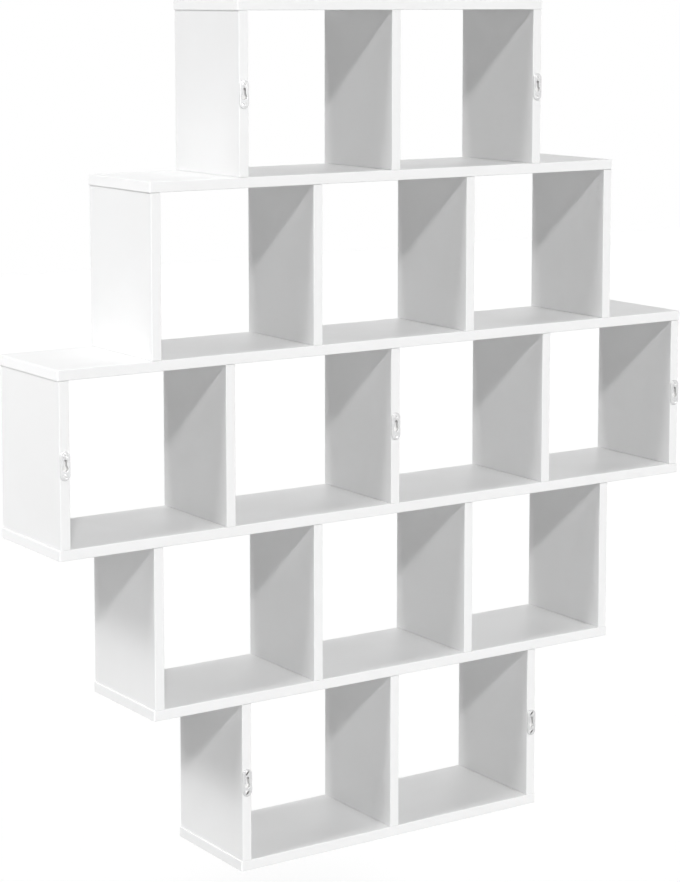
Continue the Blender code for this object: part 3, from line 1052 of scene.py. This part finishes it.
# Painted shade in the slots: full in the bottom row, none in the rows above.
SLOT_SHADE_AMOUNT = {"top": 0.0, "wide": 0.0, "bottom": 1.0}
screws = [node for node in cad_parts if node.endswith("_screw")]
screw_places = [wall_side_middle(node) for node in screws]
rows = [node.split("_row_")[0] for node in screws]
screw_points = points_mesh(
    "screw_points", screw_places, [SLOT_ANGLES[row] for row in rows], [SLOT_SHADE_AMOUNT[row] for row in rows]
)
repeat("hanger_screws", screw_template, screw_points, bright_screw, "screw_steel", screws)

# %% [markdown]
# ## Studio
# The shelf hangs in front of plain white, well above a pale floor. The world gives an even fill. A key lamp
# over the camera draws the slanting shadows in the cells. Two strips high on the left light the tops, the end
# faces and the floors of the cells. Soft panels at the front, on the right and on the room side light the
# edges, and two small boxes lift the end faces on the left. All are set to the tones of the white boards, so
# a colour renders about as it is written. The background is white only for the camera and for reflections.

# %% World and floor
FILL = 0.175
BACKDROP = 1.0
FLOOR_HEIGHT = -2.3
FLOOR_SIZE = 40.0
FLOOR_COLOUR = (0.5, 0.5, 0.5)
FLOOR_ROUGHNESS = 0.8
FLOOR_GLOW = 0.5


def seen_directly(tree):
    """One where a ray comes from the camera, a mirror or glass, and zero for the light on surfaces."""
    ray = add_node(tree, "ShaderNodeLightPath").outputs
    sharp = calc(tree, "MAXIMUM", ray["Is Glossy Ray"], ray["Is Transmission Ray"])
    return calc(tree, "MAXIMUM", ray["Is Camera Ray"], sharp)


world = bpy.data.worlds.new("studio")
bpy.context.scene.world = world
world.use_nodes = True
tree = world.node_tree
sky = tree.nodes["Background"]
sky.inputs["Color"].default_value = (1, 1, 1, 1)
tree.links.new(between(tree, seen_directly(tree), low=FILL, high=BACKDROP), sky.inputs["Strength"])

pale_floor, tree, shader = new_material("pale_floor", FLOOR_COLOUR)
shader.inputs["Base Color"].default_value = (*FLOOR_COLOUR, 1)
shader.inputs["Roughness"].default_value = FLOOR_ROUGHNESS
shader.inputs["Emission Color"].default_value = (1, 1, 1, 1)
glow = between(tree, seen_directly(tree), low=0.0, high=FLOOR_GLOW)
tree.links.new(glow, shader.inputs["Emission Strength"])
mesh = bpy.data.meshes.new("floor")
reach = FLOOR_SIZE / 2
corners = [(-reach, -reach), (reach, -reach), (reach, reach), (-reach, reach)]
mesh.from_pydata([(x, y, FLOOR_HEIGHT) for x, y in corners], [], [(0, 1, 2, 3)])
mesh.materials.append(pale_floor)
floor = bpy.data.objects.new("floor", mesh)
bpy.context.collection.objects.link(floor)
print("floor at", FLOOR_HEIGHT)

# %% Lamps
# Name, azimuth from the wall side towards +X, elevation, strength, softness. All angles are in degrees.
LAMPS = [
    ("key_lamp", 30, 36, 1.1, 5),
    ("left_strip_low", 89.3, 42, 0.87, 13),
    ("left_strip_high", 89.3, 49, 0.72, 13),
    ("front_panel", 353, 12, 1.45, 30),
    ("room_panel", 180, 3, 2.4, 6),
    ("right_panel", 270, 22, 0.52, 30),
]
for name, azimuth, elevation, strength, softness in LAMPS:
    lamp_data = bpy.data.lights.new(name, "SUN")
    lamp_data.energy = strength
    lamp_data.angle = math.radians(softness)
    lamp = bpy.data.objects.new(name, lamp_data)
    lamp.rotation_euler = (math.radians(90 - elevation), 0, math.radians(180 - azimuth))
    # The room panel faces the boards' edges squarely, so it is kept out of their gloss.
    lamp.visible_glossy = name != "room_panel"
    bpy.context.collection.objects.link(lamp)
    print(name, strength)

# %% Small boxes on the left
BOX_SIZE = (0.27, 0.4)
# Name, place, the point that it faces, and power.
LEFT_BOXES = [
    ("low_left_box", (1.3, -0.1, 0.2), (0.4, -0.1, 0.1), 1.25),
    ("high_left_box", (1.1, -0.1, 0.6), (0.264, -0.1, 1.0), 0.45),
]
for name, place, aim, power in LEFT_BOXES:
    box_data = bpy.data.lights.new(name, "AREA")
    box_data.shape = "RECTANGLE"
    box_data.size, box_data.size_y = BOX_SIZE
    box_data.energy = power
    left_box = bpy.data.objects.new(name, box_data)
    left_box.location = place
    left_box.rotation_euler = (Vector(aim) - Vector(place)).to_track_quat("-Z", "Y").to_euler()
    left_box.visible_camera = False
    bpy.context.collection.objects.link(left_box)
    print(name, power)

bpy.context.scene.view_settings.view_transform = "Standard"
